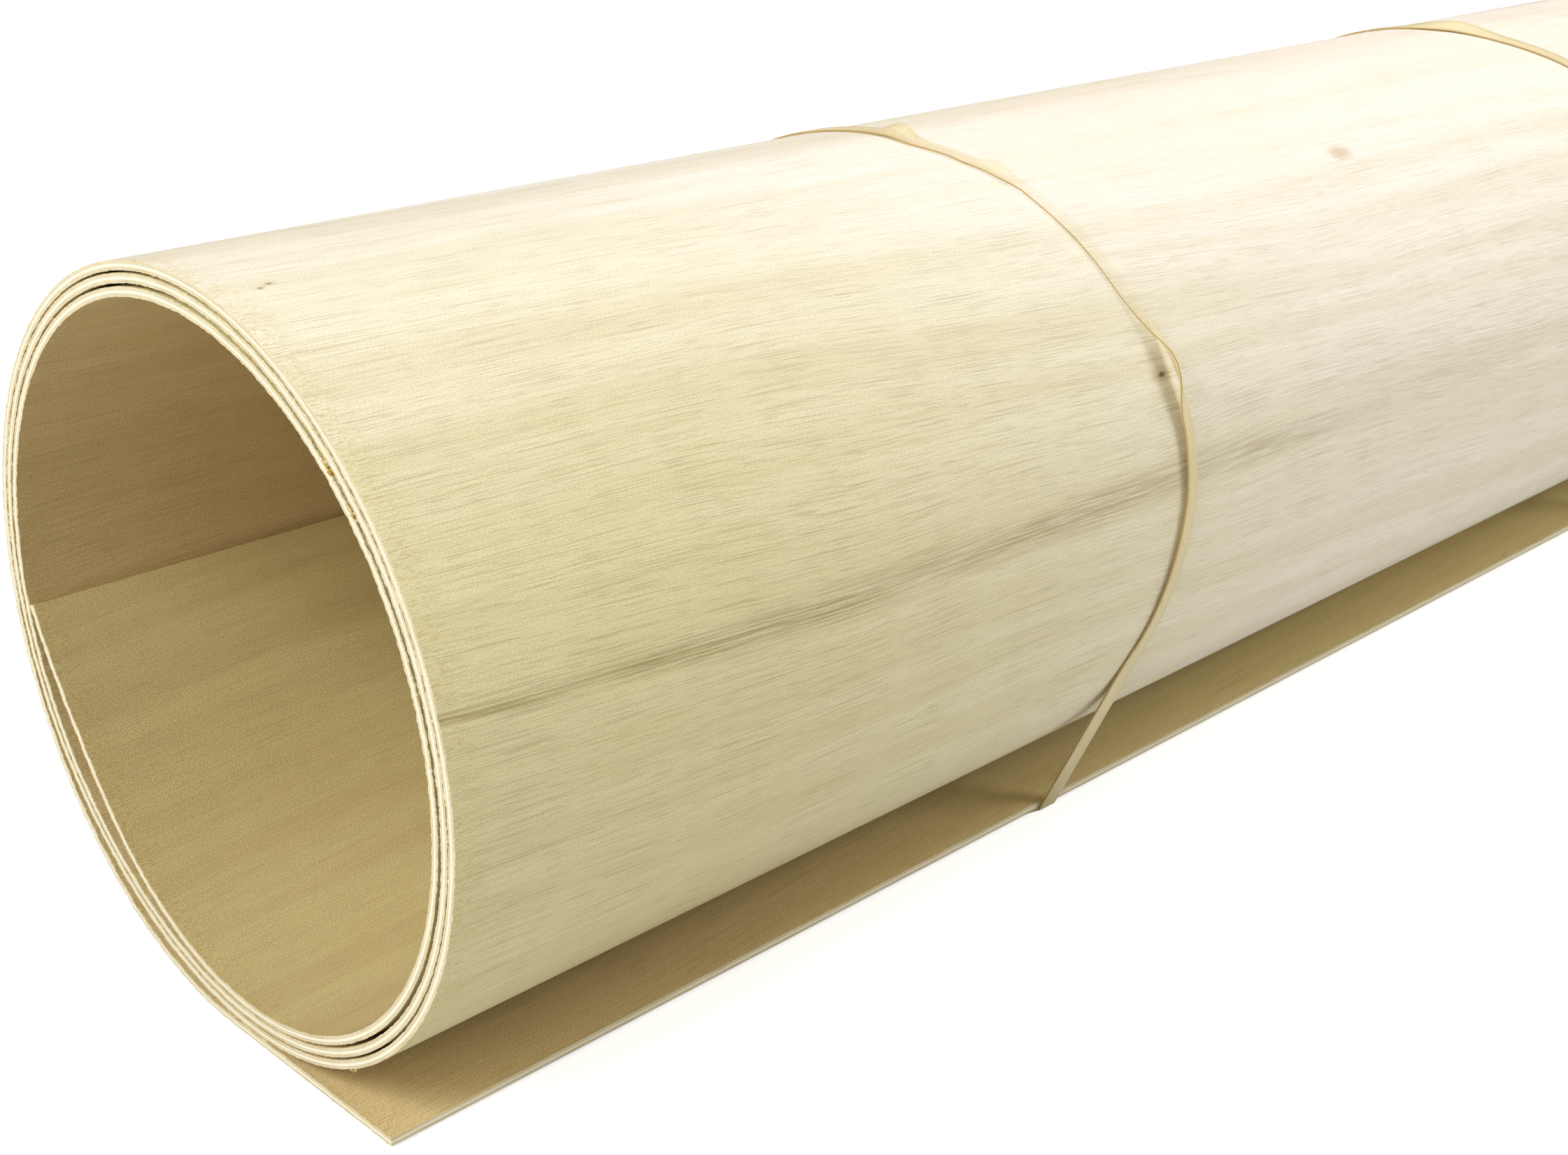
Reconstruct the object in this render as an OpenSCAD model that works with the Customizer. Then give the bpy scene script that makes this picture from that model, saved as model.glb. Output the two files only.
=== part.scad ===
// Flexible plywood: one thin three-ply sheet that bends across its face grain.
// It is rolled up loosely, three turns and a flap, and held by two flat rubber bands.
// The roll lies along X on its own flap, whose free edge faces -Y. The places of the
// bands are measured from the end at -X.

/* [Sheet] */
// Thickness of the three-ply sheet
sheet_t = 2.9; // [2:0.1:5]
// Length of the roll, which is the width of the sheet along its face grain
roll_len = 1220; // [800:10:2500]

/* [Winding] */
// Radius of the bore that an even winding would leave
bore_r = 114; // [90:1:250]
// Depth of the outer end that lies flat on the floor below the roll
flap_w = 87.5; // [60:0.5:110]
// Bend radius of the inner end, which springs outwards
spring_r = 280; // [200:10:600]

/* [Rubber bands] */
// Width of a band along the roll
band_w = 8; // [3:0.5:20]
// Thickness of a stretched band
band_t = 1; // [0.6:0.1:1.4]
// Where the near band crosses the flap's edge, from the near end of the roll
near_band_at = 300; // [150:5:350]
// Where the far band crosses it, from the same end
far_band_at = 760; // [500:5:780]
// Gap between a band and the sheet that it holds
band_clear = 0.1; // [0.05:0.05:0.3]

/* [Hidden] */

sheet_color = "#dccf9f";
band_color = "#dcc48c";

// The sheet is a chain of bends that share their tangents, from the flap inwards.
// The first one lifts the sheet off the floor, and each later one is a sixth of a turn.
landing_turn = 51;
sixth = 60;
// Degrees of a bend that one flat facet of its surface spans
facet = 3;
// Facets of the fold of a band over the flap's edge
fold_facets = 6;
// How much flatter (+) or tighter (-) than an even winding each bend lies. The roll
// sags over its flap, so each turn is flatter at its lower back and tighter beside it.
ease = [-8.5, 0.5, -0.5, 0.5, 1, -7.5,
        7.5, -6.5, -1, 1, -1, -7,
        6, -6.5, -3, 1, -3, -6, -12];
bends = len(ease);
turn_bends = 360 / sixth;
// How far along the roll each band has drifted from its place on the flap's edge, for
// the directions that it faces on its way round, from straight down to the flap again.
near_drift = [[-90, -8], [-30, -18], [40, -20], [95, -17], [107, -11], [118, -2],
              [130, 3], [142, 7], [152, 13], [165, 18], [175, 18], [187, 13], [205, 6]];
far_drift = [[-90, -6], [-40, -36], [20, -76], [70, -94], [90, -90], [105, -75],
             [117, -59], [140, -38], [165, -22], [205, -8]];

// Each bend's middle radius, turn and first polar angle. The last bend is the inner end.
function even_r(i) = bore_r + sheet_t / 2 + sheet_t * (bends - 1 - i) / turn_bends;
function radius(i) = i < bends ? even_r(i) + ease[i] : spring_r;
function turn(i) = i == 0 ? landing_turn : i < bends ? sixth : spring_turn();
function first(i) = i == 0 ? -90 : first(i - 1) + turn(i - 1);

// A bend's centre moves along the line where it meets the bend before it.
flap_z = band_t + band_clear;
function along(angle) = [cos(angle), sin(angle)];
function centre(i) = i == 0
    ? [0, flap_z + sheet_t / 2 + radius(0)]
    : centre(i - 1) + (radius(i - 1) - radius(i)) * along(first(i));

// The inner end springs outwards until its corner all but meets the turn around it.
// That corner and the inside of the turn lie on two circles that cross there.
tip_gap = 0.3;
function spring_turn() = let (
    stop = bends - turn_bends,
    between = centre(stop) - centre(bends),
    corner_r = spring_r + sheet_t / 2,
    stop_r = radius(stop) - sheet_t / 2 - tip_gap,
    far = norm(between),
    meet = acos((pow(corner_r, 2) + pow(far, 2) - pow(stop_r, 2)) / (2 * corner_r * far)))
    (atan2(between.y, between.x) + meet - first(bends)) % 360 + 360;

// The stops of a line that follows the sheet from the flap round to an angle of a bend,
// each a bend and an angle, and the points there that lie off the sheet's middle.
function stops(last, until) = [
    for (i = [0 : last]) let (steps = ceil(turn(i) / facet))
        for (k = [0 : steps - 1]) let (angle = first(i) + turn(i) * k / steps)
            if (angle < until) [i, angle],
    [last, until]
];
function bend_points(off, last, until) =
    [for (s = stops(last, until)) centre(s[0]) + (radius(s[0]) + off) * along(s[1])];
function backwards(points) = [for (i = [len(points) - 1 : -1 : 0]) points[i]];

// The outer bend that faces a direction, and how far it reaches with a band on it.
function facing(angle) =
    [for (i = [0 : turn_bends]) if (first(i) <= angle && angle < first(i) + turn(i)) i][0];
function reach(i, angle) =
    centre(i) * along(angle) + radius(i) + sheet_t / 2 + band_clear + band_t;
middle_y = (reach(facing(0), 0) - reach(facing(180), 180)) / 2;

// A band leaves the roll's flank where a straight line from the flap's lower edge
// touches it.
flap_edge = [-flap_w, flap_z];
function to_flank(i) = centre(i) - flap_edge;
function leave_angle(i) = atan2(to_flank(i).y, to_flank(i).x)
    + acos(-(radius(i) + sheet_t / 2) / norm(to_flank(i)));
flank = [for (i = [1 : turn_bends])
    if (first(i) <= leave_angle(i) && leave_angle(i) < first(i) + turn(i)) i][0];
leave = leave_angle(flank);

// The line round the roll and the flap that keeps a distance from the sheet.
function around(off) = concat(
    bend_points(sheet_t / 2 + off, flank, leave),
    [for (k = [0 : fold_facets])
        flap_edge + off * along(leave + (270 - leave) * k / fold_facets)]);

// Turns a section drawn in plan, Y to the right and Z up, so that its height runs along X.
module along_roll(from_x) {
    translate([from_x, -middle_y, 0]) rotate([90, 0, 90]) children();
}

// The whole sheet, from the free edge of its flap to its inner edge.
module plywood_sheet() {
    inner_edge = first(bends) + turn(bends);
    color(sheet_color) along_roll(-roll_len / 2) linear_extrude(roll_len) polygon(concat(
        [[-flap_w, flap_z]],
        bend_points(sheet_t / 2, bends, inner_edge),
        backwards(bend_points(-sheet_t / 2, bends, inner_edge)),
        [[-flap_w, flap_z + sheet_t]]));
}

// One endless flat band: round the roll, under the flap, over its edge and up to the
// flank. Its four edges run from stop to stop and drift along the roll together.
module rubber_band(at, drift) {
    inner = around(band_clear);
    outer = around(band_clear + band_t);
    shift = concat([for (s = stops(flank, leave)) lookup(s[1], drift)],
                   [for (k = [0 : fold_facets]) 0]);
    count = len(inner);
    edges = [for (i = [0 : count - 1], edge = [[inner, 0], [outer, 0], [outer, 1], [inner, 1]])
        [each edge[0][i], shift[i] + band_w * edge[1]]];
    sides = [for (i = [0 : count - 1], e = [0 : 3])
        let (here = 4 * i, next = 4 * ((i + 1) % count), f = (e + 1) % 4)
            each [[here + e, here + f, next + f], [here + e, next + f, next + e]]];
    color(band_color) along_roll(at - roll_len / 2 - band_w / 2) polyhedron(edges, sides);
}

module near_band() { rubber_band(near_band_at, near_drift); }
module far_band() { rubber_band(far_band_at, far_drift); }

plywood_sheet();
near_band();
far_band();
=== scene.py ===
import math

import bpy
import numpy as np
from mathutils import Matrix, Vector


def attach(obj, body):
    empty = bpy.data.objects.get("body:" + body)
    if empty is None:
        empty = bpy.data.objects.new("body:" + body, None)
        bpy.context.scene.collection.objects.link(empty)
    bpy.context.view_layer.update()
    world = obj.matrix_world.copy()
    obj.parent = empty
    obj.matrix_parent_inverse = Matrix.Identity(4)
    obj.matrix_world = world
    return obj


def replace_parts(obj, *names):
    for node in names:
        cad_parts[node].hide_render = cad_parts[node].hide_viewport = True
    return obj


# A loosely rolled sheet of thin flexible plywood that lies on its own flap, held by two flat
# rubber bands. The face grain runs along the roll, which is the CAD frame's X.

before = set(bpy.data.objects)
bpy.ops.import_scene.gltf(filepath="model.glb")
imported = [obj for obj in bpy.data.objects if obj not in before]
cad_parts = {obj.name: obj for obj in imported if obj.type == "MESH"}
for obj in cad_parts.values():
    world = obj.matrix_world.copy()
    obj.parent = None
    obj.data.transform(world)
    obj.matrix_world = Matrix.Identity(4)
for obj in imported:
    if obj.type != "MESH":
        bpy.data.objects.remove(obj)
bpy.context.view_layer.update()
MM = 0.001

# ------------------------------------------------------------------ camera
# The photograph looks into the roll's near end from its front left and a little above.
camera = bpy.data.objects.new("camera", bpy.data.cameras.new("camera"))
bpy.context.scene.collection.objects.link(camera)
camera.data.lens, camera.data.sensor_width = 48.65, 36.0
camera.data.clip_start, camera.data.clip_end = 0.05, 60.0
camera.location = (-0.8838, -0.5266, 0.3884)
camera.rotation_mode = "QUATERNION"
camera.rotation_quaternion = Vector((0.6467, 0.6625, -0.3780)).to_track_quat("-Z", "Y")
bpy.context.scene.camera = camera

# ------------------------------------------------------------------ the sheet's winding
# Millimetres, as in the CAD: a chain of bends that share their tangents, from the flap inwards.
SHEET_T, ROLL_LEN, BORE_R, FLAP_W, SPRING_R = 2.9, 1220.0, 114.0, 87.5, 280.0
BAND_W, BAND_T, BAND_CLEAR, TIP_GAP = 8.0, 1.0, 0.1, 0.3
EASE = [-8.5, 0.5, -0.5, 0.5, 1, -7.5, 7.5, -6.5, -1, 1, -1, -7, 6, -6.5, -3, 1, -3, -6, -12]
BENDS, TURN_BENDS = len(EASE), 6
FLAP_Z = BAND_T + BAND_CLEAR
HALF_T = SHEET_T / 2


def along(angle):
    return np.array([math.cos(math.radians(angle)), math.sin(math.radians(angle))])


RADII = [BORE_R + HALF_T + SHEET_T * (BENDS - 1 - i) / TURN_BENDS + EASE[i] for i in range(BENDS)]
RADII.append(SPRING_R)
FIRST = [-90.0] + [-39.0 + 60.0 * i for i in range(BENDS)]
CENTRES = [np.array([0.0, FLAP_Z + HALF_T + RADII[0]])]
for i in range(1, BENDS + 1):
    CENTRES.append(CENTRES[-1] + (RADII[i - 1] - RADII[i]) * along(FIRST[i]))


def spring_turn():
    """The inner end springs outwards until its corner meets the turn around it."""
    stop = BENDS - TURN_BENDS
    between = CENTRES[stop] - CENTRES[BENDS]
    corner, stop_r, far = SPRING_R + HALF_T, RADII[stop] - HALF_T - TIP_GAP, np.linalg.norm(between)
    meet = math.degrees(math.acos((corner**2 + far**2 - stop_r**2) / (2 * corner * far)))
    return (math.degrees(math.atan2(between[1], between[0])) + meet - FIRST[BENDS]) % 360


TURNS = [FIRST[i + 1] - FIRST[i] for i in range(BENDS)] + [spring_turn()]
LENGTHS = [FLAP_W] + [math.radians(turn) * radius for turn, radius in zip(TURNS, RADII)]
STARTS = np.concatenate([[0.0], np.cumsum(LENGTHS)])
SHEET_LEN = STARTS[-1]


def reach(bend, angle):
    return CENTRES[bend] @ along(angle) + RADII[bend] + HALF_T + BAND_CLEAR + BAND_T


MIDDLE_Y = (reach(2, 0) - reach(5, 180)) / 2


def section(u):
    """The sheet's middle line at distances u from the flap's free edge: points and outward
    normals in the CAD's Y and Z, and the way each normal points in degrees."""
    u = np.clip(np.asarray(u, float), 0.0, SHEET_LEN)
    point, facing = np.zeros((len(u), 2)), np.full(len(u), -90.0)
    point[:] = np.stack([u - FLAP_W, np.full(len(u), FLAP_Z + HALF_T)], 1)
    for k in range(BENDS + 1):
        here = u >= STARTS[k + 1]
        facing[here] = FIRST[k] + np.degrees((u[here] - STARTS[k + 1]) / RADII[k])
        way = np.radians(facing[here])
        point[here] = CENTRES[k] + RADII[k] * np.stack([np.cos(way), np.sin(way)], 1)
    way = np.radians(facing)
    return point - (MIDDLE_Y, 0.0), np.stack([np.cos(way), np.sin(way)], 1), facing


def u_facing(angle):
    """The distance from the flap's edge at which the sheet's normal has turned to an angle."""
    k = max(i for i in range(BENDS + 1) if FIRST[i] <= angle)
    return STARTS[k + 1] + math.radians(angle - FIRST[k]) * RADII[k]


def wander(count, lump, seed):
    """Smooth noise from -1 to 1 for a row of points, with lumps that many points long."""
    r = np.random.default_rng(seed)
    knots = r.uniform(-1, 1, int(count / lump) + 3)
    return np.interp(np.arange(count) / lump, np.arange(len(knots)), knots)


# ------------------------------------------------------------------ materials
def linear(code):
    """An sRGB hex value as linear RGBA."""
    parts = [int(code[i:i + 2], 16) / 255 for i in (1, 3, 5)]
    return [p / 12.92 if p <= 0.04045 else ((p + 0.055) / 1.055) ** 2.4 for p in parts] + [1.0]


def add(tree, kind, inputs=None, give=0, **settings):
    """Adds a node with its settings, values and links, and returns one of its outputs."""
    node = tree.nodes.new(kind)
    for name, value in settings.items():
        setattr(node, name, value)
    for socket, value in (inputs or {}).items():
        if isinstance(value, bpy.types.NodeSocket):
            tree.links.new(value, node.inputs[socket])
        else:
            node.inputs[socket].default_value = value
    return node.outputs[give] if node.outputs else node


def mix(tree, amount, under, over):
    """One colour laid over another by an amount."""
    return add(tree, "ShaderNodeMix", {0: amount, 6: under, 7: over}, give=2, data_type="RGBA")


def start(name):
    material = bpy.data.materials.new(name)
    material.use_nodes = True
    material.node_tree.nodes.clear()
    return material, material.node_tree


def finish(tree, surface):
    add(tree, "ShaderNodeOutputMaterial", {"Surface": surface})


def veneer(name, pale, deep, painted_lit_colour, line, painted_light_from, streak_at, knots, patches, bands_show, lines_show, nap_shows):
    """Rotary-cut, sanded poplar veneer: a soft matt face with faint bands along the grain, short
    thin vessel lines, smoky streaks and a rare pin knot. Its pattern lies in the flat sheet's
    own millimetres: X from the flap's edge, Y along the roll from the near end."""
    material, tree = start(name)
    flat = add(tree, "ShaderNodeAttribute", give="Vector", attribute_name="flat_mm")
    u = add(tree, "ShaderNodeSeparateXYZ", {0: flat}, give="X")
    y = add(tree, "ShaderNodeSeparateXYZ", {0: flat}, give="Y")

    def value(kind, *inputs):
        return add(tree, "ShaderNodeMath", dict(enumerate(inputs)), operation=kind)

    def vector(kind, one, other, give=0):
        return add(tree, "ShaderNodeVectorMath", {0: one, 1: other}, give=give, operation=kind)

    def remap(amount, low, high, to_low=0.0, to_high=1.0, ease="SMOOTHSTEP"):
        return add(tree, "ShaderNodeMapRange", {0: amount, 1: low, 2: high, 3: to_low, 4: to_high},
                   interpolation_type=ease)

    def cloud(place, width, length, at=(0.0, 0.0), detail=2.0, rough=0.5):
        """Noise with lumps that are width mm across the grain and length mm along it."""
        place = vector("ADD", vector("MULTIPLY", place, (1 / width, 1 / length, 0.0)), (*at, 0.0))
        return add(tree, "ShaderNodeTexNoise", {"Vector": place, "Scale": 1.0, "Detail": detail,
                                                "Roughness": rough}, noise_dimensions="2D")

    # The grain isn't dead straight: it drifts by 45 mm a metre and bows by a few millimetres.
    bow = value("MULTIPLY_ADD", cloud(flat, 110, 260, detail=1.0), 16.0, -8.0)
    across = value("ADD", value("MULTIPLY_ADD", y, -0.045, u), bow)
    bent = add(tree, "ShaderNodeCombineXYZ", {"X": across, "Y": y})

    # Painted light: the face is painted whiter on one side of a line along the sheet, where the outside's top faces the
    # lamps, and towards the far end, which the lamps light most. On the inside, the lower wall that the lamp at the
    # roll's mouth lights is painted lighter, partly with a tone of its own.
    # Growth bands are 16 mm wide, and finer ones 2 mm and 0.6 mm.
    painted_light_and_tone = value("MULTIPLY_ADD", remap(u, *painted_light_from), 0.9, remap(y, 60.0, 470.0, 0.0, 0.85))
    painted_light_and_tone = value("MINIMUM", painted_light_and_tone, 1.0)
    colour = mix(tree, painted_light_and_tone, linear(pale), linear(painted_lit_colour))
    bands = cloud(bent, 16, 800, detail=2.0, rough=0.55)
    colour = mix(tree, remap(bands, 0.36, 0.68, 0.0, bands_show), colour, linear(deep))
    fine = cloud(bent, 2.2, 190, (5, 3), 3.0, 0.65)
    # The finer bands and threads are painted fainter where the painted light whitens the face.
    calm_where_painted_lit = value("MULTIPLY_ADD", painted_light_and_tone, -0.5, 1.0)
    colour = mix(tree, value("MULTIPLY", remap(fine, 0.32, 0.72, 0.0, 0.4 * bands_show), calm_where_painted_lit), colour, linear(deep))
    threads = cloud(bent, 0.62, 42, (3, 1), 3.0, 0.65)
    colour = mix(tree, value("MULTIPLY", remap(threads, 0.46, 0.70, 0.0, 0.38), calm_where_painted_lit), colour, linear(deep))

    # Smoky grey-brown streaks, where the heartwood shows through broken threads.
    smoky = remap(cloud(bent, 60, 1100, (31, 7), 1.0), 0.62, 0.76, 0.0, 0.16)
    if streak_at:
        # It leaves the near end thin and dark, rises by 12 mm and widens to a soft smear.
        path = value("MULTIPLY_ADD", value("EXPONENT", value("DIVIDE", y, -110.0)), -12.5, streak_at + 12.5)
        path = value("ADD", path, value("MULTIPLY_ADD", cloud(flat, 900, 70, (4, 4), 1.0), 5.0, -2.5))
        apart = value("ABSOLUTE", value("SUBTRACT", u, path))
        width = value("MINIMUM", value("MULTIPLY_ADD", y, 0.045, 2.4), 10.0)
        smear = remap(value("DIVIDE", apart, width), 1.0, 0.0, 0.0, 1.0)
        dark = value("MULTIPLY_ADD", value("EXPONENT", value("DIVIDE", y, -60.0)), 0.42, 0.50)
        gaps = remap(cloud(flat, 60, 80, (2, 5), 1.0), 0.30, 0.60, 0.45, 1.0)
        fade = remap(y, 600.0, 300.0, 0.25, 1.0)
        smear = value("MULTIPLY", value("MULTIPLY", smear, dark), value("MULTIPLY", gaps, fade))
        smoky = value("MAXIMUM", smoky, smear)
    smoky = value("MULTIPLY", smoky, remap(threads, 0.36, 0.58, 0.15, 1.0))
    colour = mix(tree, smoky, colour, linear("#8a743f"))

    # Vessel lines: pores cut open lengthwise. They are 0.1 mm wide on the wood and are drawn
    # at 0.3 mm so that they show, 3 to 15 mm long and in loose drifts.
    drifts = remap(cloud(bent, 12, 60, (9, 2), 3.0, 0.6), 0.34, 0.66, -0.02, 0.03)
    lines = None
    for width, length, least, strong, seed in ((0.30, 13.0, 0.650, 0.8, 0), (0.36, 42.0, 0.655, 1.0, 40)):
        pore = value("ADD", cloud(bent, width, length, (seed, seed), 1.0, 0.4), drifts)
        one = remap(pore, least, least + 0.04, 0.0, strong)
        lines = one if lines is None else value("MAXIMUM", lines, one)
    place = vector("MULTIPLY", bent, (1 / 1.9, 1 / 55.0, 0.0))
    apart = add(tree, "ShaderNodeTexVoronoi", {"Vector": place, "Scale": 1.0, "Randomness": 1.0},
                voronoi_dimensions="2D", feature="F1")
    luck = add(tree, "ShaderNodeSeparateColor", {0: apart.node.outputs["Color"]})
    bold = value("MULTIPLY", remap(apart, 0.15, 0.07), remap(luck, 0.45, 1.0, 0.0, 1.0, "LINEAR"))
    lines = value("MAXIMUM", lines, bold)
    # The vessel lines are painted fainter where the painted light whitens the face.
    shown = value("MULTIPLY", lines, value("MULTIPLY_ADD", painted_light_and_tone, -0.45 * lines_show, lines_show))
    colour = mix(tree, shown, colour, linear(line))

    # Soft patches of another tone. The browner one on the inside's upper wall is partly painted shade.
    for at_u, at_y, size, patch_colour, strong in patches:
        place = vector("MULTIPLY", vector("SUBTRACT", flat, (at_u, at_y, 0.0)), (1 / size, 0.5 / size, 0.0))
        ring = value("MULTIPLY_ADD", cloud(flat, 30, 60), 0.9, vector("LENGTH", place, (0, 0, 0), "Value"))
        colour = mix(tree, remap(ring, 1.6, 0.5, 0.0, strong), colour, linear(patch_colour))

    # Pin knots: a brown eye, longer along the grain, with a soft halo.
    for at_u, at_y, size, halo, eye in knots:
        place = vector("MULTIPLY", vector("SUBTRACT", flat, (at_u, at_y, 0.0)), (1 / size, 0.5 / size, 0.0))
        ring = value("MULTIPLY_ADD", cloud(flat, 1.4, 2.4), 0.8, vector("LENGTH", place, (0, 0, 0), "Value"))
        colour = mix(tree, remap(ring, 3.0, 0.8, 0.0, halo), colour, linear("#a88440"))
        colour = mix(tree, remap(ring, 1.35, 0.65, 0.0, eye), colour, linear("#5f4630"))

    # The saw frays the last few millimetres of the face into short yellow shreds.
    shreds = remap(cloud(flat, 0.55, 3.2, (7, 7), 2.0, 0.6), 0.50, 0.66)
    frayed = value("MULTIPLY", shreds, remap(y, 16.0, 0.5, 0.0, 0.55))
    colour = mix(tree, frayed, colour, linear("#c9ac62"))

    # Sanding leaves a nap of torn fibre, drawn at 0.5 mm so that it shows.
    nap = cloud(bent, 0.36, 0.6, (1, 9), 1.0, 0.6)
    colour = mix(tree, remap(nap, 0.30, 0.72, 0.0, nap_shows), colour, linear(line))

    height = value("MULTIPLY_ADD", lines, -0.05, value("MULTIPLY", nap, 0.012))
    height = value("MULTIPLY_ADD", threads, 0.03, height)
    relief = add(tree, "ShaderNodeBump", {"Strength": 0.5, "Distance": 0.001, "Height": height})
    skin = add(tree, "ShaderNodeBsdfPrincipled", {"Base Color": colour, "Roughness": 0.62, "IOR": 1.5,
                                                 "Specular IOR Level": 0.28, "Normal": relief})
    finish(tree, skin)
    return material


def cut_edge(name):
    """The sawn edge of three plies: a thin hard-lit core line between two thicker, rougher
    plies whose end grain stands up in short pale and tan fibres."""
    material, tree = start(name)
    flat = add(tree, "ShaderNodeAttribute", give="Vector", attribute_name="flat_mm")
    off = add(tree, "ShaderNodeSeparateXYZ", {0: flat}, give="Z")
    off = add(tree, "ShaderNodeMath", {0: off}, operation="ABSOLUTE")
    small = add(tree, "ShaderNodeVectorMath", {0: flat, 1: (1 / 0.30, 1 / 0.30, 1 / 0.22)}, operation="MULTIPLY")
    speck = add(tree, "ShaderNodeTexNoise", {"Vector": small, "Scale": 1.0, "Detail": 3.0, "Roughness": 0.7})
    large = add(tree, "ShaderNodeVectorMath", {0: flat, 1: (1 / 14, 1 / 14, 1 / 1.5)}, operation="MULTIPLY")
    patch = add(tree, "ShaderNodeTexNoise", {"Vector": large, "Scale": 1.0, "Detail": 2.0})
    amount = add(tree, "ShaderNodeMapRange", {"Value": speck, "From Min": 0.34, "From Max": 0.66})
    colour = mix(tree, amount, linear("#f6edd2"), linear("#d2bf8c"))
    amount = add(tree, "ShaderNodeMapRange", {"Value": patch, "From Min": 0.45, "From Max": 0.7, "To Max": 0.35})
    colour = mix(tree, amount, colour, linear("#c4ab70"))
    core = add(tree, "ShaderNodeMapRange", {"Value": off, "From Min": 0.46, "From Max": 0.30})
    colour = mix(tree, core, colour, linear("#fdf6dc"))
    relief = add(tree, "ShaderNodeBump", {"Strength": 0.6, "Distance": 0.0003, "Height": speck})
    skin = add(tree, "ShaderNodeBsdfPrincipled", {"Base Color": colour, "Roughness": 0.8, "IOR": 1.5,
                                                 "Specular IOR Level": 0.2, "Normal": relief})
    finish(tree, skin)
    return material


def torn_fibre(name):
    """Loose slivers that the saw left on the ends: dull and dry, from cream to straw yellow,
    with a few of them scorched brown."""
    material, tree = start(name)
    flat = add(tree, "ShaderNodeAttribute", give="Vector", attribute_name="flat_mm")
    place = add(tree, "ShaderNodeVectorMath", {0: flat, 1: (1 / 1.3, 0.0, 1 / 1.3)}, operation="MULTIPLY")
    luck = add(tree, "ShaderNodeTexNoise", {"Vector": place, "Scale": 1.0, "Detail": 0.0})
    amount = add(tree, "ShaderNodeMapRange", {"Value": luck, "From Min": 0.35, "From Max": 0.6})
    colour = mix(tree, amount, linear("#f4e9c4"), linear("#e2c56a"))
    amount = add(tree, "ShaderNodeMapRange", {"Value": luck, "From Min": 0.62, "From Max": 0.74})
    colour = mix(tree, amount, colour, linear("#b08a3c"))
    finish(tree, add(tree, "ShaderNodeBsdfPrincipled", {"Base Color": colour, "Roughness": 0.85,
                                                        "Specular IOR Level": 0.15}))
    return material


def rubber(name, pale, amber, clears):
    """Natural latex band, die-cut from thin sheet: smooth, softly glossy and lit through where
    it's thin, so that its face is pale, clear where it's stretched flat, and its sides amber."""
    material, tree = start(name)
    flat = add(tree, "ShaderNodeAttribute", give="Vector", attribute_name="flat_mm")
    drawn = add(tree, "ShaderNodeVectorMath", {0: flat, 1: (1 / 24, 1 / 1.6, 1.0)}, operation="MULTIPLY")
    cloudy = add(tree, "ShaderNodeTexNoise", {"Vector": drawn, "Scale": 1.0, "Detail": 3.0})
    colour = mix(tree, cloudy, linear(pale), linear(amber))
    skin = add(tree, "ShaderNodeBsdfPrincipled", {"Base Color": colour, "Roughness": 0.42, "IOR": 1.52,
                                                 "Specular IOR Level": 0.4})
    glow = add(tree, "ShaderNodeBsdfTranslucent", {"Color": colour})
    solid = add(tree, "ShaderNodeMixShader", {0: 0.2, 1: skin, 2: glow})
    if clears:
        clear = add(tree, "ShaderNodeAttribute", give="Fac", attribute_name="clearness")
        see_through = add(tree, "ShaderNodeBsdfTransparent")
        solid = add(tree, "ShaderNodeMixShader", {0: clear, 1: solid, 2: see_through})
    finish(tree, solid)
    return material


# The outside is painted whitest on its top and towards its far end, as painted light from the lamps.
outer_veneer = veneer("poplar_veneer_outside", "#dfd5a8", "#cabb82", "#f6eee2", "#82703a", (620.0, 450.0), 632.5,
                      [(608.0, 312.5, 1.5, 0.38, 0.8), (545.0, 481.0, 2.2, 0.45, 0.0),
                       (497.0, 15.0, 0.5, 0.4, 0.8), (495.5, 18.5, 0.6, 0.4, 0.8)],
                      [(500.0, 390.0, 60.0, "#fae3d2", 0.5), (470.0, 620.0, 90.0, "#fbeade", 0.5)], 0.22, 0.30, 0.22)
# The inside is painted lighter past 2320 mm. This is partly painted light from the lamp at the roll's mouth and partly
# a tone of its own.
inner_veneer = veneer("poplar_veneer_inside", "#e8cf9c", "#d2ba82", "#e9d99c", "#7c683a", (2200.0, 2320.0), None, [],
                      # The browner patch at 1800 mm is partly its own tone and partly painted shade of the inside's
                      # upper wall.
                      [(1800.0, 180.0, 70.0, "#d9b98c", 0.5)], 0.35, 0.24, 0.40)
sawn_plies = cut_edge("sawn_ply_edge")
slivers = torn_fibre("torn_wood_fibre")
latex_face = rubber("natural_latex_face", "#f4e9c3", "#e4d19d", True)
latex_side = rubber("natural_latex_cut_side", "#cbb078", "#ae9254", False)


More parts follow.
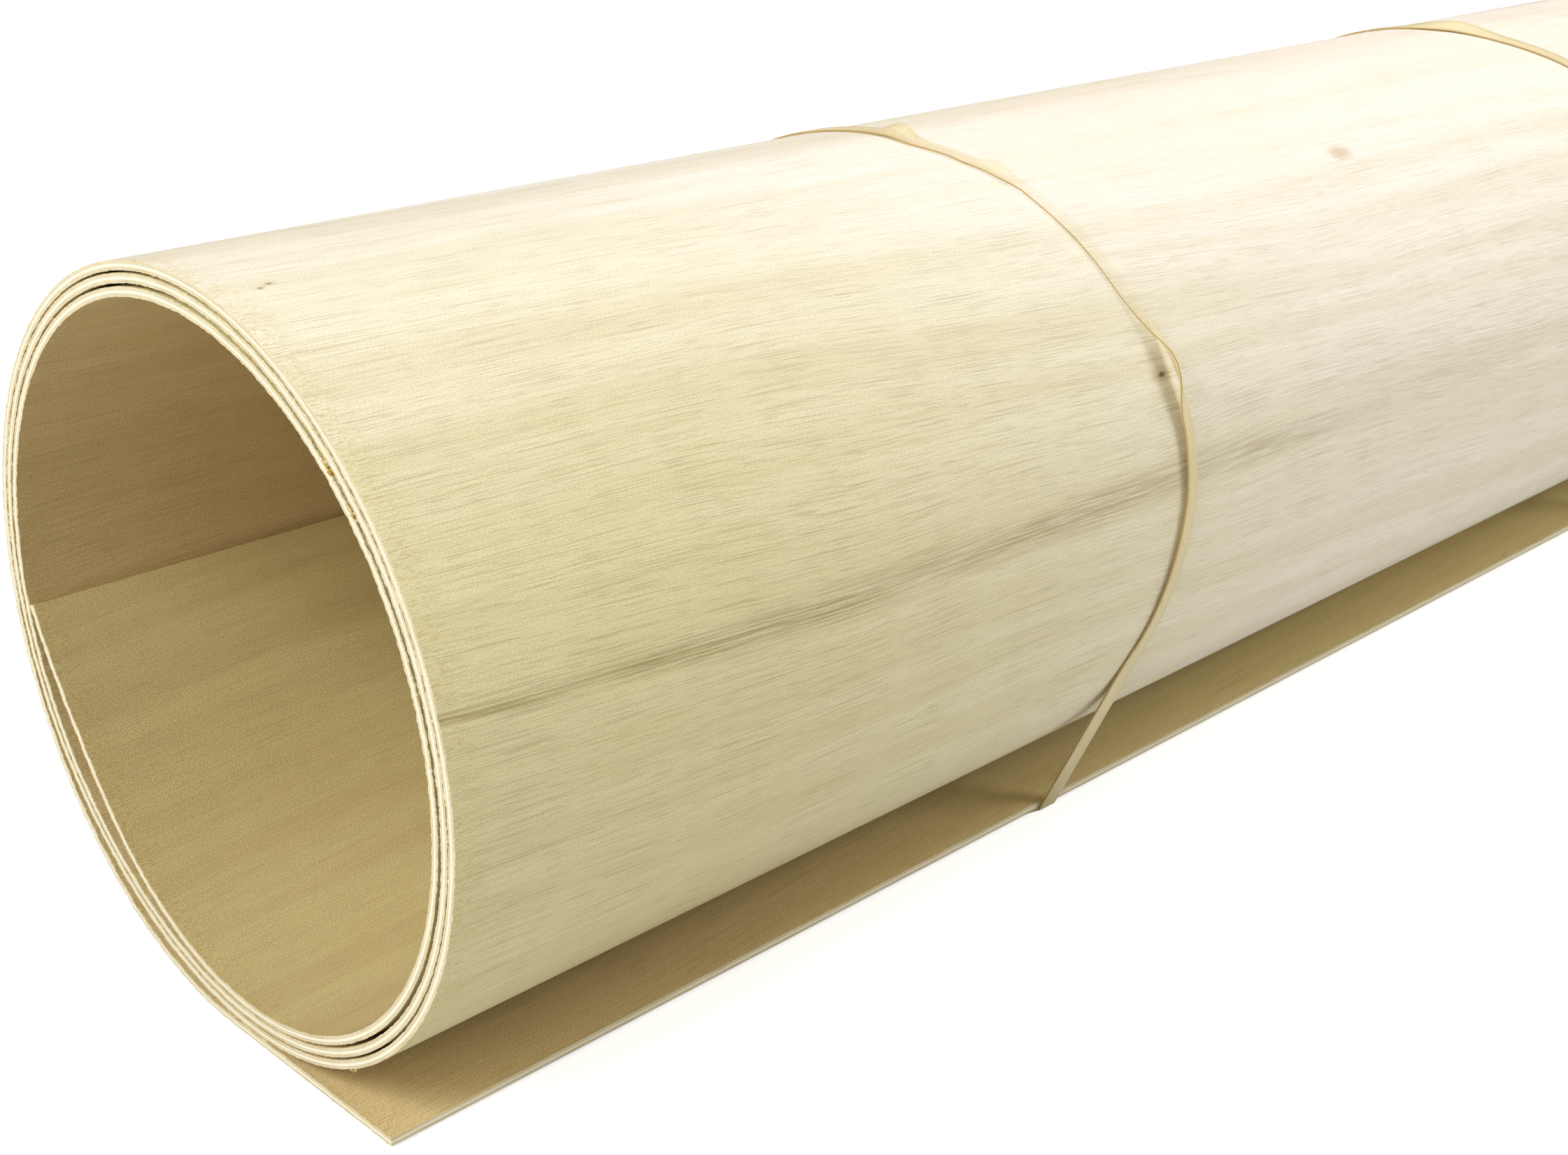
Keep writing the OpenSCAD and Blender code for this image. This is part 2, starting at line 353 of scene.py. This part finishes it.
# ------------------------------------------------------------------ the sheet
def saw_slivers():
    """Slivers of torn fibre on both sawn ends: three-sided needles that stand on the edge."""
    r = np.random.default_rng(7)

    def needles(u, x, t, lean_out, lean_x, length, width):
        """One needle for each u, from a point x along the roll and t off the sheet's middle, that
        leans away from the face by lean_out and along the roll by lean_x."""
        spot, normal, _ = section(u)
        n = len(u)
        run = np.column_stack([np.zeros(n), -normal[:, 1], normal[:, 0]])
        out = np.column_stack([np.zeros(n), normal])
        ends = np.column_stack([np.ones(n), np.zeros(n), np.zeros(n)])
        way = out * lean_out[:, None] + ends * lean_x[:, None] + run * r.normal(0, 0.5, n)[:, None]
        way /= np.linalg.norm(way, axis=1)[:, None]
        root = np.column_stack([x - ROLL_LEN / 2, spot + normal * t[:, None]]) - way * (0.25 * length)[:, None]
        side = np.cross(way, r.normal(0, 1, (n, 3)))
        side /= np.linalg.norm(side, axis=1)[:, None]
        other = np.cross(way, side)
        w = width[:, None]
        corners = [root + side * w, root - side * w * 0.5 + other * w * 0.8, root - side * w * 0.5 - other * w * 0.8,
                   root + way * length[:, None]]
        flat = np.column_stack([u, x, t])
        spots = np.stack([np.column_stack([c, flat]) for c in corners], 1).reshape(-1, 6)
        first = 4 * np.arange(n)[:, None]
        tris = np.concatenate([first + [0, 1, 3], first + [1, 2, 3], first + [2, 0, 3]])
        return spots, tris

    def fringe(n, low, high, faces, long, wide, end=-1.0, out=0.5):
        """Needles at random along a stretch of an end's edge."""
        u = r.uniform(low, high, n)
        face = r.choice(faces, n)
        length = np.clip(r.exponential(long, n), 0.15, 3.2 * long)
        x = np.full(n, 0.0 if end < 0 else ROLL_LEN) - end * r.uniform(0, 0.25, n)
        return needles(u, x, face * HALF_T * r.uniform(0.8, 1.0, n), face * out * r.uniform(0.2, 1.2, n),
                       end * r.uniform(0.3, 1.0, n), length, wide * r.uniform(0.6, 1.3, n))

    def tuft(n, angle, face, long, wide, spread=1.2, lift=0.3):
        """A clump of needles where the sheet faces an angle."""
        u = u_facing(angle) + r.normal(0, spread, n)
        return needles(u, r.uniform(-0.2, 0.8, n), face * (HALF_T + lift * r.uniform(0, 1, n)), r.normal(0.2, 0.8, n) * face,
                       -r.uniform(0.1, 1.0, n), long * r.uniform(0.4, 1.2, n), wide * r.uniform(0.6, 1.3, n))

    return [fringe(2600, 0, SHEET_LEN, [-1, 1], 0.34, 0.13),
            fringe(420, u_facing(-50), u_facing(70), [1], 0.38, 0.15, out=1.0),
            fringe(620, u_facing(720 + 128), u_facing(720 + 205), [1], 0.8, 0.17, out=1.1),
            fringe(400, u_facing(360 + 60), u_facing(360 + 150), [-1, 1], 0.45, 0.14, out=0.8),
            fringe(500, 0, SHEET_LEN, [-1, 1], 0.4, 0.2, end=1.0),
            tuft(60, 720 + 132, 1, 1.7, 0.40, 1.6, 1.0), tuft(40, 720 + 139, 1, 1.4, 0.36, 1.2, 0.8),
            tuft(10, 241, 1, 1.8, 0.2), tuft(12, 720 - 16, -1, 1.3, 0.2),
            needles(np.full(9, SHEET_LEN - 0.4), r.uniform(0.0, 1.6, 9), r.uniform(-1, 1, 9), r.uniform(-1, 0.6, 9),
                    r.uniform(-0.8, 0.2, 9), r.uniform(1.0, 2.8, 9), r.uniform(0.25, 0.5, 9))]


def rolled_sheet():
    """The sheet as one closed mesh: coarse over its faces, fine where its ends are sawn."""
    step, near_split, far_split = 4.8, 6, 3
    coarse = int(round(SHEET_LEN / step))
    points, flats, faces, marks = [], [], [], []

    def rows(split, table, seed):
        """Adds rows of points, one for each (distance from the near end, height off the sheet's
        middle, roughness), and returns their numbers. Roughness shifts a point both ways."""
        u = np.linspace(0, SHEET_LEN, coarse * split + 1)
        spot, normal, _ = section(u)
        numbers = []
        for k, (x, t, rough) in enumerate(table):
            r = np.random.default_rng(seed + k)
            dx = rough * (0.6 * r.uniform(-1, 1, len(u)) + 0.4 * wander(len(u), 3, seed + 100))
            dt = 0.35 * rough * r.uniform(-1, 1, len(u)) * (abs(t) > 1.0)
            yz = spot + normal * (t + dt)[:, None]
            numbers.append(sum(len(p) for p in points) + np.arange(len(u)))
            points.append(np.column_stack([x + dx - ROLL_LEN / 2, yz]))
            flats.append(np.column_stack([u, x + dx, t + dt]))
        return numbers

    def weave(block, mark):
        """Quads between neighbouring rows of equal length."""
        for a, b, m in zip(block, block[1:], mark):
            quads = np.column_stack([a[:-1], b[:-1], b[1:], a[1:]])
            faces.extend(quads.tolist())
            marks.extend([m] * len(quads))

    def join(fine, wide, split, mark, flip):
        """Many-sided faces from a fine row to a coarse one."""
        for i in range(coarse):
            ring = fine[i * split:(i + 1) * split + 1].tolist() + [wide[i + 1], wide[i]]
            faces.append([int(v) for v in (ring[::-1] if flip else ring)])
            marks.append(mark)

    H, L = HALF_T, ROLL_LEN
    plies = [0.75, 0.5, 0.28, 0.0, -0.28, -0.5, -0.75]
    near = [(2.2, H, 0.0), (1.0, H, 0.06), (0.4, H, 0.12), (0.05, H, 0.27)]
    near += [(0.0, H * p, 0.24 if abs(p) > 0.3 else 0.06) for p in plies]
    near += [(0.05, -H, 0.27), (0.4, -H, 0.12), (1.0, -H, 0.06), (2.2, -H, 0.0)]
    near = rows(near_split, near, 1)
    middle = (6, 30, 90, 200, 350, 500, 650, 800, 950, 1080, 1160, 1200, 1214)
    outside = rows(1, [(x, H, 0.0) for x in middle], 40)
    inside = rows(1, [(x, -H, 0.0) for x in middle], 60)
    far = [(L - 2.0, H, 0.0), (L - 0.5, H, 0.08), (L - 0.05, H, 0.3), (L, 0.45, 0.2), (L, 0.0, 0.07),
           (L, -0.45, 0.2), (L - 0.05, -H, 0.3), (L - 0.5, -H, 0.08), (L - 2.0, -H, 0.0)]
    far = rows(far_split, far, 80)
    OUT, IN, EDGE = 0, 1, 2
    weave(near, [OUT] * 3 + [EDGE] * 8 + [IN] * 3)
    weave(outside[::-1], [OUT] * 12)
    weave(inside, [IN] * 12)
    weave(far[::-1], [IN] * 2 + [EDGE] * 4 + [OUT] * 2)
    join(near[0], outside[0], near_split, OUT, False)
    join(near[-1], inside[0], near_split, IN, True)
    join(far[0], outside[-1], far_split, OUT, True)
    join(far[-1], inside[-1], far_split, IN, False)
    for end, flip in ((0, False), (-1, True)):
        ring = [row[end] for row in near[::-1] + outside + far + inside[::-1]]
        faces.append([int(v) for v in (ring[::-1] if flip else ring)])
        marks.append(EDGE)

    count = sum(len(p) for p in points)
    for spots, tris in saw_slivers():
        points.append(spots[:, :3])
        flats.append(spots[:, 3:])
        faces.extend((tris + count).tolist())
        marks.extend([3] * len(tris))
        count += len(spots)

    mesh = bpy.data.meshes.new("rolled_plywood")
    mesh.from_pydata((np.concatenate(points) * MM).tolist(), [], faces)
    for material in (outer_veneer, inner_veneer, sawn_plies, slivers):
        mesh.materials.append(material)
    mesh.polygons.foreach_set("material_index", marks)
    flat = mesh.attributes.new("flat_mm", "FLOAT_VECTOR", "POINT")
    flat.data.foreach_set("vector", np.concatenate(flats).astype(np.float32).ravel())
    mesh.polygons.foreach_set("use_smooth", [True] * len(faces))
    mesh.set_sharp_from_angle(angle=math.radians(50))
    mesh.update()
    piece = bpy.data.objects.new("rolled_plywood", mesh)
    bpy.context.scene.collection.objects.link(piece)
    return piece


sheet = rolled_sheet()
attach(sheet, "root")
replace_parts(sheet, "plywood_sheet")


# ------------------------------------------------------------------ the rubber bands
def line_round_the_roll(steps=2.0):
    """A band's way round the roll as rows of (Y, Z, outward angle, place on its turn): along the
    flap's underside, round the roll, straight down to the flap's edge and over it. The place is
    the direction that the sheet faces there, and runs on to 230 at the flap's edge."""
    edge = np.array([-FLAP_W, FLAP_Z])
    for k in range(1, TURN_BENDS + 1):
        to_flank = CENTRES[k] - edge
        leave = math.degrees(math.atan2(to_flank[1], to_flank[0]) + math.acos(-(RADII[k] + HALF_T) / np.linalg.norm(to_flank)))
        if FIRST[k] <= leave < FIRST[k + 1]:
            break
    rows = [(*(CENTRES[0] + [0, -RADII[0] - HALF_T]) + [-FLAP_W * (1 - f), 0], -90.0, -90.0) for f in np.linspace(0.02, 0.98, 12)]
    for angle in np.arange(-90.0, leave, steps):
        k = max(i for i in range(TURN_BENDS + 1) if FIRST[i] <= angle)
        rows.append((*(CENTRES[k] + (RADII[k] + HALF_T) * along(angle)), angle, angle))
    lift_off = CENTRES[k] + (RADII[k] + HALF_T) * along(leave)
    for f in np.linspace(0.0, 0.97, 24):
        rows.append((*(lift_off + (edge - lift_off) * f), leave, leave + (230 - leave) * f))
    for f in np.linspace(0.0, 1.0, 7):
        rows.append((*edge, leave + (270 - leave) * f, 230.0))
    return rows


def ribbon(name, at, drift, pose):
    """A flat band swept round the roll. Drift is how far it has moved along the roll, and pose
    its tilt, shift along the roll and lift at places on its turn."""
    route = line_round_the_roll()
    place = np.array([r[3] for r in route])

    def eased(table, column):
        knots, values = np.array([r[0] for r in table], float), np.array([r[column] for r in table], float)
        fine = np.arange(-95.0, 240.0, 0.5)
        smooth = np.interp(fine, knots, values)
        smooth = np.convolve(np.pad(smooth, 6, mode="edge"), np.hanning(15)[1:-1] / np.hanning(15).sum(), "valid")
        return np.interp(place, fine, smooth)

    shift = eased(drift, 1) + eased(pose, 2)
    tilt, lift = np.radians(eased(pose, 1)), eased(pose, 3)
    widths = eased(pose, 4) / BAND_W
    half_w, half_t, corner = BAND_W / 2, BAND_T * 0.48, 0.22
    ring = [(-half_w, -half_t + corner), (-half_w + corner, -half_t), (half_w - corner, -half_t), (half_w, -half_t + corner),
            (half_w, half_t - corner), (half_w - corner, half_t), (0.0, half_t), (-half_w + corner, half_t), (-half_w, half_t - corner)]
    points, flats, run = [], [], 0.0
    for i, (y, z, out, _) in enumerate(route):
        normal = along(out)
        height = BAND_CLEAR + half_t + abs(math.sin(tilt[i])) * half_w + lift[i]
        if i:
            run += math.dist(route[i][:2], route[i - 1][:2])
        for w, t in ring:
            w = w * widths[i]
            w_now, t_now = w * math.cos(tilt[i]) + t * math.sin(tilt[i]), t * math.cos(tilt[i]) - w * math.sin(tilt[i])
            yz = np.array([y, z]) + normal * (height + t_now) - (MIDDLE_Y, 0.0)
            points.append((at + shift[i] + w_now - ROLL_LEN / 2, *yz))
            flats.append((run, w, t))
    n, m = len(route), len(ring)
    faces = [(i * m + j, i * m + (j + 1) % m, (i + 1) % n * m + (j + 1) % m, (i + 1) % n * m + j)
             for i in range(n) for j in range(m)]
    mesh = bpy.data.meshes.new(name)
    mesh.from_pydata((np.array(points) * MM).tolist(), [], faces)
    mesh.materials.append(latex_face)
    mesh.materials.append(latex_side)
    mesh.polygons.foreach_set("material_index", [int(j == 8) for i in range(n) for j in range(m)])
    flat = mesh.attributes.new("flat_mm", "FLOAT_VECTOR", "POINT")
    flat.data.foreach_set("vector", np.array(flats, np.float32).ravel())
    clear = mesh.attributes.new("clearness", "FLOAT", "POINT")
    clear.data.foreach_set("value", np.repeat(eased(pose, 5), m).astype(np.float32))
    mesh.polygons.foreach_set("use_smooth", [True] * len(faces))
    mesh.update()
    piece = bpy.data.objects.new(name, mesh)
    bpy.context.scene.collection.objects.link(piece)
    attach(piece, "root")
    return piece


# Both bands drift along the roll on their way round, as the camera sees them: place, millimetres.
NEAR_DRIFT = [(-90, -8), (-30, -18), (40, -20), (91, -17), (99, -17), (107, -11), (118, -2), (130, 3),
              (142, 7), (152, 13), (165, 18), (175, 18), (187, 13), (205, 6), (230, 0)]
FAR_DRIFT = [(-90, -6), (-40, -36), (20, -76), (70, -94), (90, -90), (105, -75), (117, -59), (140, -38),
             (165, -22), (205, -8), (230, 0)]
# Place, tilt (near side up), shift along the roll, lift off the sheet, width, and clearness.
NEAR_POSE = [(-90, 0, 0, 0, 8, 0.1), (80, 0, 0, 0, 8, 0.3), (91, 0, 3, 0, 8, 0.5), (95, -42, 3, 0.3, 8, 0.2), (98, 0, 3, 0, 8, 0.7),
             (108, 4, 3.5, 0, 8, 0.8), (112, -24, 3.5, 0.2, 7, 0.7), (116, 8, 3.5, 0, 7, 0.9), (120, 0, 3.5, 0, 7, 0.93),
             (142, 0, 3.5, 0, 7, 0.93), (148, 14, 3, 0.5, 7, 0.8), (153, 52, 2, 1.5, 6.5, 0.1), (157, 40, 1, 1.6, 6, 0.0),
             (161, 14, 0, 1.2, 6, 0.0), (172, 6, 0, 0.9, 6, 0.15), (188, 4, 0, 0.5, 6, 0.1), (198, 2, 0, 0.2, 6.5, 0.0),
             (206, 0, 0, 0, 8.5, 0.0), (230, 0, 0, 0, 9.3, 0.0)]
FAR_POSE = [(-90, 0, 0, 0, 8, 0.1), (84, 0, 0, 0, 8, 0.2), (95, -30, 0, 0.2, 8, 0.1), (103, -6, 0, 0, 8, 0.3),
            (130, 0, 0, 0, 8, 0.3), (230, 0, 0, 0, 8, 0.1)]
for node, at, drift, pose in (("near_band", 300, NEAR_DRIFT, NEAR_POSE), ("far_band", 760, FAR_DRIFT, FAR_POSE)):
    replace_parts(ribbon(node.replace("_band", "_latex_band"), at, drift, pose), node)


# ------------------------------------------------------------------ floor and light
def studio_floor():
    """Plain matt white floor. The camera sees it a little brighter than it is lit, so that it
    reads as white while the object's shadow stays. Past the shadow it is plain white."""
    material, tree = start("studio_floor")
    paint = add(tree, "ShaderNodeBsdfDiffuse", {"Color": linear("#dededc")})
    seen = add(tree, "ShaderNodeLightPath", give="Is Camera Ray")
    spot = add(tree, "ShaderNodeNewGeometry", give="Position")
    away = add(tree, "ShaderNodeVectorMath", {0: spot, 1: (0.0, 0.0, 0.0)}, give="Value", operation="DISTANCE")
    bright = add(tree, "ShaderNodeMapRange", {"Value": away, "From Min": 0.9, "From Max": 1.8, "To Min": 0.62, "To Max": 1.0},
                 interpolation_type="SMOOTHSTEP")
    glow = add(tree, "ShaderNodeEmission", {"Color": linear("#ffffff"), "Strength": bright})
    dark = add(tree, "ShaderNodeEmission", {"Strength": 0.0})
    lift = add(tree, "ShaderNodeMixShader", {0: seen, 1: dark, 2: glow})
    finish(tree, add(tree, "ShaderNodeAddShader", {0: paint, 1: lift}))
    return material


floor_mesh = bpy.data.meshes.new("floor")
floor_mesh.from_pydata([(-12, -12, 0), (12, -12, 0), (12, 12, 0), (-12, 12, 0)], [], [(0, 1, 2, 3)])
floor_mesh.materials.append(studio_floor())
floor = bpy.data.objects.new("floor", floor_mesh)
bpy.context.scene.collection.objects.link(floor)

# The camera sees a white backdrop; the object gets only a faint fill from it.
world = bpy.data.worlds.new("studio")
bpy.context.scene.world = world
world.use_nodes = True
world.node_tree.nodes.clear()
seen = add(world.node_tree, "ShaderNodeLightPath", give="Is Camera Ray")
seen = add(world.node_tree, "ShaderNodeMapRange", {"Value": seen, "To Min": 0.05, "To Max": 1.0})
backdrop = add(world.node_tree, "ShaderNodeBackground", {"Color": linear("#ffffff"), "Strength": seen})
add(world.node_tree, "ShaderNodeOutputWorld", {"Surface": backdrop})


def softbox(name, place, target, size, power):
    lamp = bpy.data.lights.new(name, "AREA")
    lamp.shape, lamp.size, lamp.size_y, lamp.energy = "RECTANGLE", size[0], size[1], power
    piece = bpy.data.objects.new(name, lamp)
    bpy.context.scene.collection.objects.link(piece)
    piece.location = place
    piece.rotation_mode = "QUATERNION"
    piece.rotation_quaternion = (Vector(target) - Vector(place)).to_track_quat("-Z", "Y")


softbox("overhead", (0.35, -0.2, 1.7), (0.1, 0.0, 0.1), (2.0, 1.4), 25.5)
softbox("far_side", (1.0, -1.8, 1.2), (0.2, -0.05, 0.05), (1.2, 0.9), 23)
softbox("mouth", (-2.2, -0.1, 1.7), (-0.6, 0.0, 0.05), (1.0, 1.0), 32)
softbox("mouth_low", (-2.3, -0.5, 0.7), (-0.6, 0.0, 0.1), (1.0, 1.0), 8)
softbox("mouth_right", (-2.0, 1.0, 1.6), (-0.6, 0.0, 0.1), (1.0, 1.0), 12)

bpy.context.scene.view_settings.view_transform = "Standard"
